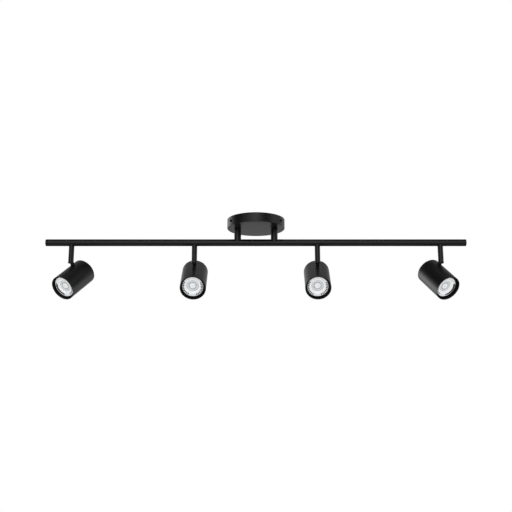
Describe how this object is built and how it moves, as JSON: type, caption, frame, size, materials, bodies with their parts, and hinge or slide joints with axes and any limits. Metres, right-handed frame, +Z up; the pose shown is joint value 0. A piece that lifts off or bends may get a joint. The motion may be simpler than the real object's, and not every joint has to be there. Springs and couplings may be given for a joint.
{
  "type": "ceiling spotlight rail",
  "caption": "Fixed ceiling spotlight rail: a round canopy on two posts, a straight round bar, and cylindrical reflector-lamp heads that swivel and tilt on short stems.",
  "frame": {"origin": "centre of the mounting plate's top face, which lies against the ceiling", "axes": "+Z up into the ceiling, X along the bar with the swivelled-out heads at both ends, -Y the way the heads aim"},
  "size_m": [0.9144, 0.1276, 0.1758],
  "materials": {
    "black_coat": "satin black powder coat",
    "black_screw": "black oxide",
    "zinc_steel": "zinc plated",
    "ground_brass": "green dyed screw",
    "terminal_plastic": "moulded",
    "lamp_white": "moulded lamp housing",
    "lamp_optic": "clear moulded optic",
    "ceramic": "unglazed"
  },
  "bodies": {
    "rail": {"mounting_plate": "zinc_steel", "canopy": "black_coat", "canopy_screw_1": "black_screw", "canopy_screw_2": "black_screw", "canopy_screw_3": "black_screw", "ground_screw": "ground_brass", "terminal_block": "terminal_plastic", "post_left": "black_coat", "post_right": "black_coat", "post_tie_left": "zinc_steel", "post_tie_right": "zinc_steel", "post_nut_left": "zinc_steel", "post_nut_right": "zinc_steel", "bar_tube": "black_coat", "end_cap_left": "black_coat", "end_cap_right": "black_coat", "stem_collar_1": "black_coat", "stem_collar_2": "black_coat", "stem_collar_3": "black_coat", "stem_collar_4": "black_coat"},
    "arm_1": {"stem_1": "black_coat", "swivel_nut_1": "zinc_steel", "pivot_pin_1": "black_screw"},
    "head_1": {"tongue_1": "black_coat", "shell_1": "black_coat", "rear_cap_1": "black_coat", "lamp_body_1": "lamp_white", "lamp_optic_1": "lamp_optic", "lamp_holder_1": "ceramic", "retaining_ring_1": "black_screw"},
    "arm_2": {"stem_2": "black_coat", "swivel_nut_2": "zinc_steel", "pivot_pin_2": "black_screw"},
    "head_2": {"tongue_2": "black_coat", "shell_2": "black_coat", "rear_cap_2": "black_coat", "lamp_body_2": "lamp_white", "lamp_optic_2": "lamp_optic", "lamp_holder_2": "ceramic", "retaining_ring_2": "black_screw"},
    "arm_3": {"stem_3": "black_coat", "swivel_nut_3": "zinc_steel", "pivot_pin_3": "black_screw"},
    "head_3": {"tongue_3": "black_coat", "shell_3": "black_coat", "rear_cap_3": "black_coat", "lamp_body_3": "lamp_white", "lamp_optic_3": "lamp_optic", "lamp_holder_3": "ceramic", "retaining_ring_3": "black_screw"},
    "arm_4": {"stem_4": "black_coat", "swivel_nut_4": "zinc_steel", "pivot_pin_4": "black_screw"},
    "head_4": {"tongue_4": "black_coat", "shell_4": "black_coat", "rear_cap_4": "black_coat", "lamp_body_4": "lamp_white", "lamp_optic_4": "lamp_optic", "lamp_holder_4": "ceramic", "retaining_ring_4": "black_screw"}
  },
  "joints": [
    {"name": "swivel_1", "type": "hinge", "parent": "rail", "child": "arm_1", "pos_m": [-0.4008, 0, -0.0511], "axis": [0, 0, 1], "range_deg": [-142.5, 207.5]},
    {"name": "swivel_2", "type": "hinge", "parent": "rail", "child": "arm_2", "pos_m": [-0.1336, 0, -0.0511], "axis": [0, 0, 1], "range_deg": [-176.4, 173.6]},
    {"name": "swivel_3", "type": "hinge", "parent": "rail", "child": "arm_3", "pos_m": [0.1336, 0, -0.0511], "axis": [0, 0, 1], "range_deg": [-175.7, 174.3]},
    {"name": "swivel_4", "type": "hinge", "parent": "rail", "child": "arm_4", "pos_m": [0.4008, 0, -0.0511], "axis": [0, 0, 1], "range_deg": [-206.5, 143.5]},
    {"name": "tilt_1", "type": "hinge", "parent": "arm_1", "child": "head_1", "pos_m": [-0.4008, 0, -0.0913], "axis": [0.8434, -0.5373, 0], "range_deg": [-40, 49.5]},
    {"name": "tilt_2", "type": "hinge", "parent": "arm_2", "child": "head_2", "pos_m": [-0.1336, 0, -0.0913], "axis": [0.9997, 0.0244, 0], "range_deg": [-40, 49.5]},
    {"name": "tilt_3", "type": "hinge", "parent": "arm_3", "child": "head_3", "pos_m": [0.1336, 0, -0.0913], "axis": [0.9999, 0.0122, 0], "range_deg": [-40, 49.5]},
    {"name": "tilt_4", "type": "hinge", "parent": "arm_4", "child": "head_4", "pos_m": [0.4008, 0, -0.0913], "axis": [0.8526, 0.5225, 0], "range_deg": [-40, 49.5]}
  ]
}
